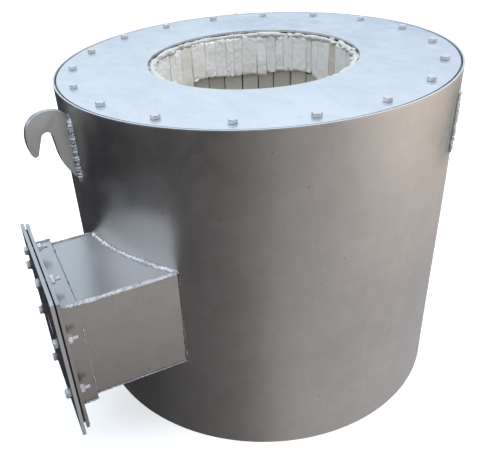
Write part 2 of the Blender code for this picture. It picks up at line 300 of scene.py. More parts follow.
class Surface(Graph):
    """A material's node graph, with its shader and the place on the object."""

    def __init__(self, name, metallic, roughness=0.4):
        self.material = bpy.data.materials.new(name)
        super().__init__(self.material)
        self.shader = self.nodes["Principled BSDF"]
        self.set("Metallic", metallic)
        self.set("Roughness", roughness)
        self.place = self.add("TexCoord").outputs["Object"]

    def noise(self, scale, detail=4.0, roughness=0.55, stretch=None, distortion=0.0):
        """Noise on the object, with its coordinates multiplied along each axis for grain and streaks."""
        place = self.place
        if stretch:
            place = self.add("Mapping", Scale=stretch, Vector=place).outputs["Vector"]
        finer = {"Detail": detail, "Roughness": roughness, "Distortion": distortion}
        return self.add("TexNoise", Vector=place, Scale=scale, **finer).outputs["Fac"]

    def attribute(self, name):
        return self.add("Attribute", {"attribute_name": name}).outputs["Fac"]

    def set(self, name, value):
        """Gives one of the shader's sockets a value or a link."""
        self.feed(self.shader.inputs[name], value)

    def colour(self, value):
        self.set("Base Color", value)

    def roughness(self, value):
        self.set("Roughness", value)

    def source(self, name):
        """The output that feeds one of the shader's sockets so far."""
        return self.shader.inputs[name].links[0].from_socket

    def bump(self, height, distance, strength=1.0, below=None):
        node = self.add("Bump", Height=height, Distance=distance, Strength=strength)
        if below:
            self.feed(node.inputs["Normal"], below)
        self.set("Normal", node.outputs["Normal"])
        return node.outputs["Normal"]


ROLLED = (1.0, 1.0, 0.04)               # grain up the sheet
EVEN = (1.0, 1.0, 1.0)


def sheet_steel(name, dark, light, rough, grain=EVEN, specks=0.5, waves=0.35):
    """Mill-finish sheet: rolling grain, cloudy handling marks, scuffs and a few dark specks."""
    s = Surface(name, 1.0)
    clouds = s.noise(7.0, 5.0, 0.6)
    fine = s.noise(420.0, 3.0, 0.6, grain)
    blotches = s.noise(38.0, 3.0, 0.5, distortion=0.6)
    tone = s.mix(0.25, s.ramp(clouds, (0.3, 0.0), (0.7, 1.0)), s.ramp(fine, (0.35, 0.0), (0.65, 1.0)))
    tone = s.mix(0.25, tone, s.ramp(blotches, (0.4, 0.0), (0.62, 1.0)))
    colour = s.mix(tone, dark, light)
    spots = s.ramp(s.noise(130.0, 2.0, 0.5), (0.245, 1.0), (0.275, 0.0))
    colour = s.mix(s.times(spots, specks), colour, (0.07, 0.06, 0.055))
    scuffs = s.ramp(s.noise(30.0, 6.0, 0.75, (0.35, 0.35, 3.0), 1.5), (0.62, 0.0), (0.72, 1.0))
    colour = s.mix(s.times(scuffs, 0.18), colour, (0.78, 0.78, 0.77))
    s.colour(colour)
    spread = s.mix(0.5, s.ramp(clouds, (0.3, 0.0), (0.75, 1.0)), s.ramp(blotches, (0.35, 0.0), (0.7, 1.0)))
    s.roughness(s.math("MULTIPLY_ADD", spread, rough[1] - rough[0], rough[0]))
    soft = s.bump(s.noise(16.0, 2.0, 0.5), 1.2 * MM, waves)
    s.bump(fine, 0.05 * MM, 0.5, soft)
    return s


def make_drum_steel():
    """The drum's sheet, dulled by the welding heat round the hooks (`scorch` on the mesh)."""
    s = sheet_steel("drum_steel", (0.5, 0.475, 0.455), (0.6, 0.575, 0.555), (0.27, 0.37), ROLLED)
    heat = s.times(s.attribute("scorch"), s.math("ADD", s.noise(60.0, 4.0, 0.6), 0.4))
    s.colour(s.mix(heat, s.source("Base Color"), (0.31, 0.325, 0.315)))
    s.roughness(s.math("MULTIPLY_ADD", heat, 0.38, s.source("Roughness")))
    return s.material


def make_duct_steel():
    """The duct's sides and bottom: a darker copy of the top's sheet, as painted shade, and darker still
    towards the floor.
    """
    s = sheet_steel("duct_steel", (0.41, 0.395, 0.38), (0.5, 0.485, 0.47), (0.3, 0.42), ROLLED)
    height = s.add("SeparateXYZ", Vector=s.place).outputs["Z"]
    grey = s.ramp(height, (DUCT_LOW.z, 0.38), (DUCT_HIGH.z - 0.02, 0.0))
    s.colour(s.mix(grey, s.source("Base Color"), (0.13, 0.12, 0.11)))
    return s.material


def fine_metal(name, dark, light, grain, rough, depth, strength, metallic=1.0):
    """A surface with one fine noise for its tone, its roughness and its bumps."""
    s = Surface(name, metallic)
    fine = s.noise(*grain)
    s.colour(s.mix(fine, dark, light))
    s.roughness(s.math("MULTIPLY_ADD", fine, rough[1], rough[0]))
    s.bump(fine, depth, strength)
    return s.material


def make_plate_steel():
    """The cover ring: paler sheet with cloudy wipe marks, dull patches and pale lint."""
    s = sheet_steel("plate_steel", (0.78, 0.8, 0.82), (0.9, 0.91, 0.92), (0.24, 0.38), specks=0.25)
    base = s.source("Base Color")
    smears = s.ramp(s.noise(9.0, 6.0, 0.7, (1.0, 2.2, 1.0), 0.8), (0.42, 0.0), (0.66, 1.0))
    colour = s.mix(s.times(smears, 0.3), base, (0.56, 0.6, 0.66))
    lint = s.ramp(s.noise(75.0, 4.0, 0.7, (1.0, 1.6, 1.0), 1.2), (0.7, 0.0), (0.74, 1.0))
    s.colour(s.mix(s.times(lint, 0.75), colour, (0.93, 0.93, 0.92)))
    return s.material


def make_burner_steel():
    """The blanking plate: mill scale on its two faces, and bright sawn edges."""
    s = sheet_steel("burner_steel", (0.1, 0.097, 0.1), (0.19, 0.182, 0.185), (0.38, 0.55), specks=0.8)
    normal = s.add("TexCoord").outputs["Normal"]
    parts = s.add("SeparateXYZ", Vector=normal).outputs
    face = s.ramp(s.math("ABSOLUTE", parts["Y"]), (0.55, 0.0), (0.8, 1.0))
    s.colour(s.mix(face, (0.6, 0.61, 0.63), s.source("Base Color")))
    return s.material


def make_weld(name, valley_shade_and_soot, middle, crown_glint, soot_and_shade):
    """Weld metal: its tone follows the bump, as painted shade in the valleys and painted glints on the
    crowns, with soot patches and spatter.
    """
    s = Surface(name, 1.0)
    grit = s.noise(560.0, 4.0, 0.7)
    patches = s.noise(90.0, 3.0, 0.6)
    # painted shade and glints: the tone goes dark where the bump is low and near white where it is high
    tone = s.ramp(grit, (0.36, valley_shade_and_soot), (0.47, middle), (0.6, crown_glint))
    s.colour(s.mix(s.ramp(patches, (0.42, 0.0), (0.66, soot_and_shade)), tone, valley_shade_and_soot))
    s.roughness(s.math("MULTIPLY_ADD", grit, 0.35, 0.14))
    s.bump(grit, 0.6 * MM, 0.8)
    return s.material


def fibre_surface(name, clean, stain, deep, stain_amount):
    """Ceramic-fibre blanket: felted nap, browned patches, and painted shade in the hollows of its tufts.
    `stain` on the mesh tints a strip.
    """
    s = Surface(name, 0.0, 0.95)
    nap = s.noise(900.0, 5.0, 0.75, (1.0, 1.0, 0.35))
    tufts = s.noise(190.0, 4.0, 0.65, distortion=0.8)
    cloud = s.noise(26.0, 4.0, 0.6, (1.0, 1.0, 0.45))
    tint = s.times(s.attribute("stain"), stain_amount)
    patch = s.times(s.ramp(cloud, (0.42, 0.0), (0.68, 1.0)), 0.45)
    colour = s.mix(s.math("MAXIMUM", tint, s.times(patch, s.attribute("stain"))), clean, stain)
    halfway = tuple(0.5 * (a + b) for a, b in zip(clean, stain))
    colour = s.mix(s.times(patch, 0.5), colour, halfway)
    # painted shade: the deep colour goes where the tufts' bump is lowest
    colour = s.mix(s.ramp(tufts, (0.3, 0.35), (0.46, 0.0)), colour, deep)
    s.colour(colour)
    s.set("Sheen Weight", 0.15)
    s.set("Specular IOR Level", 0.2)
    soft = s.bump(tufts, 1.2 * MM, 0.6)
    s.bump(nap, 0.5 * MM, 0.6, soft)
    return s.material


DRUM_STEEL = make_drum_steel()
DUCT_STEEL = make_duct_steel()
PLATE_STEEL = make_plate_steel()
BURNER_STEEL = make_burner_steel()
# The wiped top of the duct and its collar
DUCT_TOP_STEEL = sheet_steel(
    "duct_top_steel", (0.48, 0.485, 0.49), (0.57, 0.57, 0.575), (0.27, 0.36), EVEN, 0.4, 0.1).material
HOOK_STEEL = sheet_steel("hook_steel", (0.46, 0.46, 0.46), (0.58, 0.58, 0.58), (0.42, 0.52)).material
# Hot-rolled plate with its mill scale; on the top ring it is also painted shade for the gap round the cover
# ring
DARK_STEEL = sheet_steel(
    "dark_steel", (0.13, 0.125, 0.13), (0.22, 0.21, 0.215), (0.38, 0.55), specks=0.8).material
WASHER_STEEL = sheet_steel("washer_steel", (0.16, 0.15, 0.15), (0.34, 0.33, 0.33), (0.3, 0.45)).material
# The sheet's top edge and a band inside the rim, made bright as a painted highlight, and flame-cut edges
# with drag lines across the plate
RIM_STEEL = fine_metal(
    "rim_steel", (0.72, 0.73, 0.74), (0.92, 0.93, 0.94), (260.0, 3.0, 0.6), (0.28, 0.25), 0.1 * MM, 0.5)
CUT_EDGE = fine_metal(
    "cut_edge", (0.45, 0.46, 0.48), (0.78, 0.79, 0.8), (500.0, 2.0, 0.5, (0.12, 0.12, 1.0)),
    (0.28, 0.2), 0.25 * MM, 0.7)
WELD = make_weld("weld", (0.2, 0.195, 0.22), (0.5, 0.5, 0.55), (0.98, 0.98, 1.0), 0.4)
BRIGHT_WELD = make_weld("bright_weld", (0.22, 0.21, 0.21), (0.7, 0.71, 0.73), (0.98, 0.99, 1.0), 0.55)
DULL_WELD = make_weld("dull_weld", (0.09, 0.075, 0.065), (0.3, 0.27, 0.25), (0.7, 0.69, 0.68), 0.7)
# Bright zinc plate on the bolts, a little hazy, and a darker copy on the flats of their heads as painted
# shade
ZINC_GRAIN, ZINC_ROUGH = (350.0, 3.0, 0.6), (0.34, 0.2)
ZINC = fine_metal("zinc", (0.76, 0.76, 0.78), (0.96, 0.96, 0.97), ZINC_GRAIN, ZINC_ROUGH, 0.06 * MM, 0.4)
SHADED_ZINC_FLATS = fine_metal(
    "shaded_zinc_flats", (0.58, 0.58, 0.61), (0.72, 0.72, 0.74), ZINC_GRAIN, ZINC_ROUGH, 0.06 * MM, 0.4)
FIBRE_UPPER = fibre_surface("fibre_upper", (0.78, 0.775, 0.755), (0.5, 0.42, 0.32), (0.6, 0.58, 0.54), 0.8)
# The lower tier's blanket: a darker, warmer copy of the upper one, partly painted shade and partly browner
# fibre
FIBRE_LOWER = fibre_surface("fibre_lower", (0.66, 0.64, 0.59), (0.44, 0.37, 0.27), (0.48, 0.45, 0.4), 0.7)
HEARTH = fibre_surface("hearth", (0.58, 0.55, 0.49), (0.4, 0.33, 0.25), (0.42, 0.39, 0.34), 0.6)
FLUFF = fibre_surface("fibre_fluff", (0.45, 0.45, 0.44), (0.38, 0.355, 0.32), (0.37, 0.36, 0.345), 0.4)
GASKET = fine_metal(
    "gasket", (0.012, 0.012, 0.012), (0.05, 0.05, 0.048), (700.0, 3.0, 0.7), (0.9, 0.0), 0.2 * MM, 0.5, 0.0)

# Drum ----

# Dents in the sheet: azimuth and height, half widths in degrees and metres, depth
DENTS = [
    (33, 0.475, 4.0, 0.03, 1.6), (27, 0.56, 4.5, 0.045, 1.2), (47, 0.5, 6.0, 0.09, 1.0),
    (17, 0.15, 5.0, 0.035, 1.5), (-53, 0.505, 5.0, 0.025, 1.2), (-88, 0.585, 5.0, 0.035, 1.2),
    (-30, 0.05, 9.0, 0.03, 0.9), (5, 0.4, 9.0, 0.09, 0.7), (-12, 0.23, 10.0, 0.06, 0.6),
    (95, 0.45, 9.0, 0.06, 1.3), (150, 0.3, 12.0, 0.07, 1.0), (200, 0.48, 9.0, 0.06, 1.3),
    (235, 0.15, 10.0, 0.05, 1.2), (120, 0.12, 8.0, 0.04, 1.2), (182, 0.1, 10.0, 0.04, 1.0),
    (-60, 0.412, 15.0, 0.06, 6.4),     # drawn in by the weld over the duct
]


def turn_from(angle, azimuth):
    """How far an azimuth is from an angle in degrees, the short way round."""
    return (degrees(azimuth) - angle + 180) % 360 - 180


def sheet_inset(azimuth, z):
    """How far the sheet lies inside its true radius: slow waves from rolling, and the dents."""
    x, y = cos(azimuth), sin(azimuth)
    depth = 0.35 * (1 + noise.noise(Vector((2.2 * x, 2.2 * y, 5.0 * z))))
    for angle, height, half_angle, half_height, deep in DENTS:
        reach = (turn_from(angle, azimuth) / half_angle) ** 2 + ((z - height) / half_height) ** 2
        depth += deep * exp(-reach)
    # the ends of the sheet stay true, where the base and the cover ring hold it
    hold = min(1.0, 12 * min(z, DRUM_TOP - z) / DRUM_TOP)
    return depth * hold * MM


def heat_at(place):
    """How much a place on the sheet was dulled by the welding of the nearest hook, from 0 to 1."""
    azimuth = atan2(place.y, place.x)
    middle = (HOOK_FOOT_Z + HOOK_SHOULDER_Z) / 2
    half = HOOK_SHOULDER_Z - middle + (30 * MM if place.z > middle else 4 * MM)
    along = abs(place.z - middle) / half
    ragged = 1 + 0.3 * noise.noise(place * 16)
    heat = 0.0
    for angle, reach in [(BARE_WELD_ANGLE, 74 * MM)] + [(hook, 24 * MM) for hook in HOOK_ANGLES]:
        away = DRUM_RADIUS * abs((azimuth - angle + pi) % tau - pi) / (reach * ragged)
        heat = max(heat, exp(-(away**2.6) - along**4))
    return heat


def snapped(lines, wanted):
    """The lines with the one nearest each wanted value moved onto it."""
    for value in wanted:
        nearest = min(range(len(lines)), key=lambda i: abs(lines[i] - value))
        lines[nearest] = value
    return lines


def make_drum():
    """The rolled sheet, with the duct's window, as a fine grid."""
    columns, rows = 360, 110
    # painted highlight: the bright rim steel goes on this band inside the rim
    rim_highlight_band = 8 * MM                         # bright band inside the rim
    window_x = (DUCT_LOW.x + DUCT_WALL, DUCT_HIGH.x - DUCT_WALL)
    window_z = (DUCT_LOW.z + DUCT_WALL, DUCT_HIGH.z - DUCT_WALL)
    sides = [tau - acos(x / DRUM_RADIUS) for x in window_x]
    azimuths = snapped([tau * i / columns for i in range(columns)], sides)
    heights = snapped([DRUM_TOP * i / rows for i in range(rows + 1)], window_z)
    shape = bmesh.new()

    def point(azimuth, z):
        return shape.verts.new(polar(DRUM_RADIUS - sheet_inset(azimuth, z), azimuth, z))

    grid = [[point(azimuth, z) for azimuth in azimuths] for z in heights]
    for row in range(rows):
        inside_z = window_z[0] <= (heights[row] + heights[row + 1]) / 2 <= window_z[1]
        for i in range(columns):
            j = (i + 1) % columns
            if inside_z and sides[0] <= azimuths[i] < sides[1] - 1e-6:
                continue
            shape.faces.new([grid[row][i], grid[row][j], grid[row + 1][j], grid[row + 1][i]])
    drum = mesh_object("drum_sheet", shape, DRUM_STEEL)
    wall = drum.modifiers.new("wall", "SOLIDIFY")
    wall.thickness = DRUM_WALL
    wall.offset = -1
    applied(drum)
    for vert in drum.data.vertices:
        vert.co.z = min(max(vert.co.z, 0.0), DRUM_TOP)
    bevel(drum, 0.5 * MM, 2, 60)
    applied(drum)
    # painted highlight: the rim's top faces and the band inside it take the bright rim steel
    drum.data.materials.append(RIM_STEEL)
    for face in drum.data.polygons:
        inward = face.normal.dot(radial(face.center)) < -0.5
        if face.center.z > DRUM_TOP - 0.7 * MM or (inward and face.center.z > DRUM_TOP - rim_highlight_band):
            face.material_index = 1
    paint(drum, "scorch", [heat_at(vert.co) for vert in drum.data.vertices])
    settle(drum, "drum_steel", "shell")


# Cover ring ----


def top_bolt_centre(number):
    low, high = size_of(f"top_bolt_{number:02d}")
    return Vector(((low.x + high.x) / 2, (low.y + high.y) / 2, high.z - HEAD_HEIGHT))


def make_cover_ring():
    outer, inner = PLATE_HIGH.x, MOUTH_RADIUS
    profile = [(inner, PLATE_LOW.z), (outer, PLATE_LOW.z), (outer, PLATE_HIGH.z), (inner, PLATE_HIGH.z)]
    plate = mesh_object("cover_ring", lathe(profile, 240), PLATE_STEEL)
    holes = bmesh.new()
    for number in range(1, TOP_BOLTS + 1):
        c = top_bolt_centre(number)
        ring = circle(BOLT_HOLE_RADIUS, 16, (c.x, c.y))
        join_into(holes, prism(ring, PLATE_LOW.z - 2 * MM, PLATE_HIGH.z + 2 * MM))
    combine(plate, mesh_object("cover_holes", holes, PLATE_STEEL))
    bevel(plate, 0.45 * MM, 2, 50)
    applied(plate, 15)
    plate.data.materials.append(CUT_EDGE)
    for face in plate.data.polygons:
        if hypot(face.center.x, face.center.y) < MOUTH_RADIUS + 0.1 * MM and abs(face.normal.z) < 0.3:
            face.material_index = 1
    settle(plate, "plate_steel", "top_plate")


# Fasteners ----


def turned(profile, count):
    return mesh_object("turned", lathe(profile, count, closed=False), ZINC)


def hexagon(thick, chamfer):
    """A hexagon from z = 0 up, chamfered in the round by the profile."""
    piece = mesh_object("hexagon", prism(circle(HEAD_CORNER, 6), 0, thick), ZINC)
    return combine(piece, turned(chamfer, 48), "INTERSECT")


def finished(item):
    """The item's mesh with its edges rounded, without the object."""
    bevel(item, 0.25 * MM, 2, 35)
    mesh = applied(item, 30).data
    discard(item)
    return mesh


def threaded_profile(radius, low, high, pitch=1.25 * MM):
    """A profile up a bolt's shank: rounded grooves one pitch apart, with a tapered point."""
    profile = [(radius * 0.72, low)]
    steps = int((high - low) / pitch * 4)
    for i in range(1, steps + 1):
        groove = 0.28 * MM * (1 + cos(pi * i / 2))
        profile.append((radius - groove, low + (high - low) * i / steps))
    return profile


def bolt_mesh(length, washer):
    """One bolt along Z, its shank below zero: head, washer and thread as one body of joined shells."""
    wide, shoulder = HEAD_CORNER * 1.05, HEAD_HEIGHT - 1.1 * MM
    head = hexagon(HEAD_HEIGHT, [(wide, -MM), (wide, shoulder), (CHAMFER_RADIUS, HEAD_HEIGHT)])
    lift = WASHER_THICK if washer else 0.0
    shape = bmesh.new()
    shape.from_mesh(head.data)
    bmesh.ops.translate(shape, verts=shape.verts, vec=(0, 0, lift))
    discard(head)
    if washer:
        edge = 0.3 * MM
        inner, outer = WASHER_RADIUS - edge, WASHER_RADIUS
        ring = [(inner, 0), (outer, edge), (outer, WASHER_THICK - edge), (inner, WASHER_THICK + 0.05 * MM)]
        disc = lathe(ring, 40, closed=False)
        for face in disc.faces:
            face.material_index = 1
        join_into(shape, disc)
    join_into(shape, lathe(threaded_profile(BOLT_RADIUS, -length, 0.2 * MM), 20, closed=False))
    item = mesh_object("bolt", shape, ZINC, 30)
    item.data.materials.append(WASHER_STEEL)
    mesh = finished(item)
    # painted shade: the flats of the head take the darker zinc
    mesh.materials.append(SHADED_ZINC_FLATS)
    for face in mesh.polygons:
        if face.center.z > lift + 0.5 * MM and abs(face.normal.z) < 0.2:
            face.material_index = 2
    return mesh


def nut_mesh():
    wide, drop = HEAD_CORNER * 1.03, 0.9 * MM
    barrel = [(CHAMFER_RADIUS, 0), (wide, drop), (wide, NUT_THICK - drop), (CHAMFER_RADIUS, NUT_THICK)]
    nut = hexagon(NUT_THICK, barrel)
    hole = BOLT_RADIUS + 0.2 * MM
    return finished(combine(nut, turned([(hole, -MM), (hole, NUT_THICK + MM)], 24)))


def put(name, mesh, location, rotation, node):
    item = bpy.data.objects.new(name, mesh)
    item.matrix_world = Matrix.Translation(location) @ rotation.to_4x4()
    SHOWN.link(item)
    settle(item, "zinc", node)


def make_fasteners():
    turns = random.Random(7)

    def twist():
        return Matrix.Rotation(turns.uniform(0, pi / 3), 3, "Z")

    low, high = size_of("top_bolt_01")
    bolt = bolt_mesh(high.z - low.z - HEAD_HEIGHT, washer=False)
    for number in range(1, TOP_BOLTS + 1):
        put(f"cover_bolt_{number:02d}", bolt, top_bolt_centre(number), twist(), f"top_bolt_{number:02d}")
    low, high = size_of("plate_bolt_1")
    long_bolt = bolt_mesh(high.y - low.y - HEAD_HEIGHT - WASHER_THICK, washer=True)
    nut = nut_mesh()
    for number in range(1, 9):
        low, high = size_of(f"plate_bolt_{number}")
        seat = Vector(((low.x + high.x) / 2, low.y + HEAD_HEIGHT + WASHER_THICK, (low.z + high.z) / 2))
        outward = Matrix.Rotation(pi / 2, 3, "X")
        put(f"burner_bolt_{number}", long_bolt, seat, outward @ twist(), f"plate_bolt_{number}")
        seat.y = size_of(f"plate_nut_{number}")[0].y
        inward = Matrix.Rotation(-pi / 2, 3, "X")
        put(f"burner_nut_{number}", nut, seat, inward @ twist(), f"plate_nut_{number}")


# Fibre lining ----


def soft_block(size, radius, cuts):
    """A box with rounded edges, standing on z = 0 with its front at x = 0, on a grid of the given cuts."""
    deep, wide, tall = size
    lines = [
        [deep * t for t in cuts["deep"]],
        [wide * (i / cuts["wide"] - 0.5) for i in range(cuts["wide"] + 1)],
        [tall * i / cuts["tall"] for i in range(cuts["tall"] + 1)],
    ]
    counts = [len(line) for line in lines]
    low = Vector((radius, radius - wide / 2, radius))
    high = Vector((deep - radius, wide / 2 - radius, tall - radius))
    shape = bmesh.new()
    made = {}

    def corner(index):
        if index not in made:
            p = Vector([line[i] for line, i in zip(lines, index)])
            inner = Vector([min(max(a, b), c) for a, b, c in zip(p, low, high)])
            out = p - inner
            if out.length > 1e-9:
                p = inner + out.normalized() * min(radius, out.length)
            made[index] = shape.verts.new(p)
        return made[index]

    for axis in range(3):
        a, b = [n for n in range(3) if n != axis]
        for end, u, v in product((0, counts[axis] - 1), range(counts[a] - 1), range(counts[b] - 1)):
            quad = []
            for du, dv in ((0, 0), (1, 0), (1, 1), (0, 1)):
                index = [end, end, end]
                index[a], index[b] = u + du, v + dv
                quad.append(corner(tuple(index)))
            shape.faces.new(quad)
    return shape


def strip_widths(total, low, high, draw):
    """Random widths that fill a length exactly."""
    widths = []
    while sum(widths) < total - low:
        widths.append(draw.uniform(low, high))
    scale = total / sum(widths)
    return [w * scale for w in widths]


DEEP_CUTS = (0.0, 0.012, 0.03, 0.055, 0.09, 0.13, 0.25, 0.6, 1.0)
# Where the upper strips end: from each azimuth in degrees on, millimetres above the tiers' split
STRIP_ENDS = (
    (0, -6), (103, 2), (112, 10), (126, 6), (136, 3), (145, -2.5), (154, 0), (176, 4), (193, -9), (250, -2),
)
# Browned strips: azimuth and half width in degrees, and how brown
BROWNED = (
    (93, 5.5, 0.9), (112, 3.0, 0.3), (142, 3.0, 0.4), (158, 3.5, 0.35), (197, 6.0, 0.35), (250, 4.0, 0.5),
    (320, 5.0, 0.6), (40, 4.0, 0.4),
)


def strip_end(azimuth):
    above = [height for start, height in STRIP_ENDS if start <= degrees(azimuth) % 360][-1]
    return LOWER_HIGH.z + above * MM


def browned(azimuth):
    amount = 0.0
    for middle, half, brown in BROWNED:
        amount += brown * exp(-((turn_from(middle, azimuth) / half) ** 4))
    return min(1.0, amount)


def duct_way(inset=0.0):
    """A cutter along the duct, from outside the drum to the end of the flame's way in the strips."""
    x, z = DUCT_HALF_X - inset, DUCT_HALF_Z - inset
    outline = [(-x, -z), (x, -z), (x, z), (-x, z)]
    shape = prism(outline, -1.1 * DRUM_RADIUS, PASSAGE_END_Y, lambda u, v, w: (DUCT_X + u, w, DUCT_Z + v))
    return mesh_object("duct_way", shape, FIBRE_LOWER)


def make_strip(azimuth, width, low_z, high_z, inner, outer, style, draw):
    """One strip on edge, wedge-shaped towards the drum's axis, with a felted, slightly ragged front."""
    front = inner + draw.uniform(*style["front"])
    tall = high_z - low_z
    size = (outer - front, width - draw.uniform(*style["gap"]), tall)
    cuts = {"deep": DEEP_CUTS, "wide": 9, "tall": max(6, int(tall / style["cell"]))}
    block = soft_block(size, style["round"], cuts)
    lean = draw.uniform(-1, 1) * style["lean"]
    shift = Vector([draw.uniform(0, 50) for _ in range(3)])
    for vert in block.verts:
        p = vert.co
        near = exp(-p.x / (0.12 * size[0]))
        slow = noise.noise(p * 28 + shift)
        streak = noise.noise(Vector((p.x * 40, p.y * 420, p.z * 16)) + shift)
        quick = noise.fractal(p * 170 + shift, 0.9, 2.1, 3)
        ragged = exp(-p.z / (7 * MM)) + exp(-(tall - p.z) / (6 * MM))
        push = style["slow"] * slow + style["quick"] * quick + style["streak"] * streak
        push += style["fray"] * quick * ragged
        p.x = max(p.x - push * near, -style["proud"])
        wave = noise.noise(Vector((p.x * 50, p.y * 120, p.z * 50)) + shift * 2)
        p.z += style["fray"] * near * ragged * wave
        p.z = min(p.z, tall + style["over"])
        p.y += lean * (p.z / tall - 0.5)
        vert.co = polar(front + p.x, azimuth + p.y / inner, low_z + p.z)
    return block


def make_blanket():
    """The blanket behind the strips, pressed in where the sheet is dented, and cut out for the duct."""
    low, high = size_of("backing_blanket")
    rows = 80
    rings = [(high.x, low.z + (high.z - low.z) * i / rows) for i in range(rows + 1)]
    shape = lathe([(STRIP_BACK, low.z)] + rings + [(STRIP_BACK, high.z)], 180)
    for vert in shape.verts:
        if hypot(vert.co.x, vert.co.y) > STRIP_BACK + MM:
            press = sheet_inset(atan2(vert.co.y, vert.co.x), vert.co.z) + 0.2 * MM
            vert.co -= radial(vert.co) * press
    blanket = mesh_object("blanket", shape, FIBRE_LOWER)
    combine(blanket, duct_way())
    settle(blanket, "fibre", "backing_blanket")


def make_tier(name, node, ends, inner, widths, style, material):
    """A ring of fibre strips standing on edge. style holds how uneven the strips are."""
    draw = random.Random(style["seed"])
    outer = size_of(node)[1].x
    tier = bmesh.new()
    stain = []
    around, turn = sum(widths), 0.0
    for width in widths:
        azimuth = (turn + width / 2) / around * tau
        turn += width
        low_z, high_z = ends(azimuth, draw)
        block = make_strip(azimuth, width, low_z, high_z, inner, outer, style, draw)
        brown = min(1.0, browned(azimuth) * style["browning"] + draw.uniform(*style["tint"]))
        if style["pierced"] and sin(azimuth) < -0.05 and cos(azimuth) > 0.2:
            cutter = duct_way(DUCT_WALL + DUCT_LINING_THICK)
            strip = combine(mesh_object("strip", block, material), cutter)
            block = bmesh.new()
            block.from_mesh(strip.data)
            discard(strip)
        stain += [brown] * len(block.verts)
        join_into(tier, block)
    item = mesh_object(name, tier, material, 60)
    paint(item, "stain", stain)
    settle(item, "fibre", node)


# How uneven each tier's strips are, in millimetres
UPPER_STYLE = {
    "front": (0, 3.0), "gap": (-0.2, 0.3), "cell": 3.2, "round": 1.6, "slow": 1.6, "quick": 0.8,
    "streak": 0.7, "fray": 2.6, "lean": 2.0, "proud": 2.0, "over": 1.0,
}
LOWER_STYLE = {
    "front": (0, 2.5), "gap": (1.2, 2.4), "cell": 9, "round": 2.0, "slow": 1.2, "quick": 0.6,
    "streak": 0.4, "fray": 0.8, "lean": 0.8, "proud": 0.8, "over": 0.3,
}


def in_metres(style, **shares):
    scaled = {}
    for key, value in style.items():
        scaled[key] = [v * MM for v in value] if isinstance(value, tuple) else value * MM
    return scaled | shares


def make_lining():
    draw = random.Random(31)

    def upper_ends(azimuth, draw):
        return strip_end(azimuth) + draw.uniform(-1.5, 1.5) * MM, UPPER_TOP - draw.uniform(2.5, 6.0) * MM

    widths = strip_widths(tau * THROAT_RADIUS, 12 * MM, 32 * MM, draw)
    style = in_metres(UPPER_STYLE, seed=5, browning=1.0, tint=(0.0, 0.16), pierced=False)
    make_tier("fibre_strips_upper", "lining_upper", upper_ends, THROAT_RADIUS, widths, style, FIBRE_UPPER)

    def lower_ends(azimuth, draw):
        return LOWER_LOW.z + draw.uniform(0, 1) * MM, strip_end(azimuth) - draw.uniform(2.0, 3.0) * MM

    widths = strip_widths(tau * CHAMBER_RADIUS, 31 * MM, 38 * MM, draw)
    style = in_metres(LOWER_STYLE, seed=9, browning=0.5, tint=(0.15, 0.6), pierced=True)
    make_tier("fibre_strips_lower", "lining_lower", lower_ends, CHAMBER_RADIUS, widths, style, FIBRE_LOWER)


def wool_roll(columns=900, sides=14):
    """A continuous, uneven roll of loose wool along the strips' heads."""
    middle = (THROAT_RADIUS + MOUTH_RADIUS) / 2
    wool = bmesh.new()
    rings = []
    for i in range(columns):
        azimuth = tau * i / columns
        foot = polar(1, azimuth) * middle
        bulk = max(0.5, 0.9 + 0.6 * noise.noise(foot * 24) + 0.5 * noise.noise(foot * 80))
        half = 4.8 * MM * bulk
        drift_r = 2.0 * MM * noise.noise(foot * 30 + Vector((9, 0, 0)))
        drift_z = 1.6 * MM * noise.noise(foot * 40 + Vector((0, 9, 0)))
        ring = []
        for k in range(sides):
            turn = tau * k / sides
            fuzz = 1 + 0.3 * noise.fractal((foot + Vector((0, 0, 0.02 * k))) * 160, 0.8, 2.1, 3)
            r = min(middle - MM + drift_r + half * cos(turn) * fuzz, MOUTH_RADIUS - 0.3 * MM)
            z = min(WOOL_Z + drift_z + half * sin(turn) * fuzz, PLATE_LOW.z + 0.6 * MM)
            ring.append(wool.verts.new(polar(r, azimuth, z)))
        rings.append(ring)
    bridge(wool, rings + rings[:1])
    return wool


def wool_tuft(draw):
    """A loose lump of wool at one of the two places where there is more."""
    azimuth = radians(draw.choice((66, 240)) + draw.gauss(0, 17))
    half = Vector((draw.uniform(2.5, 5.5), draw.uniform(4.0, 9.0), draw.uniform(1.8, 3.6))) * MM
    radius = draw.uniform(THROAT_RADIUS, MOUTH_RADIUS - 3 * MM)
    height = WOOL_Z + draw.uniform(-2.0, 3.0) * MM
    shift = Vector([draw.uniform(0, 50) for _ in range(3)])
    tuft = bmesh.new()
    bmesh.ops.create_icosphere(tuft, subdivisions=3, radius=1)
    for vert in tuft.verts:
        n = vert.co.copy()
        swell = 1 + 0.3 * noise.noise(n * 1.6 + shift) + 0.3 * noise.fractal(n * 5 + shift, 0.8, 2.1, 3)
        p = n * half * swell
        vert.co = (min(radius + p.x, MOUTH_RADIUS - 0.4 * MM), p.y, min(height + p.z, PLATE_HIGH.z - MM))
    spin(tuft, azimuth)
    return tuft


def make_fluff():
    """Loose white wool along the strips' heads."""
    draw = random.Random(44)
    wool = wool_roll()
    for _ in range(70):
        join_into(wool, wool_tuft(draw))
    settle(mesh_object("fibre_fluff", wool, FLUFF, 80), "fibre")


# Welds ----


def resample(points, step):
    """Points a step apart along a polyline, with the length so far at each."""
    lengths = [0.0, *accumulate((b - a).length for a, b in zip(points, points[1:]))]
    count = max(4, int(lengths[-1] / step))
    result, k = [], 0
    for i in range(count + 1):
        t = lengths[-1] * i / count
        while k < len(lengths) - 2 and lengths[k + 1] < t:
            k += 1
        share = (t - lengths[k]) / max(1e-9, lengths[k + 1] - lengths[k])
        result.append((points[k].lerp(points[k + 1], share), t))
    return result, lengths[-1]


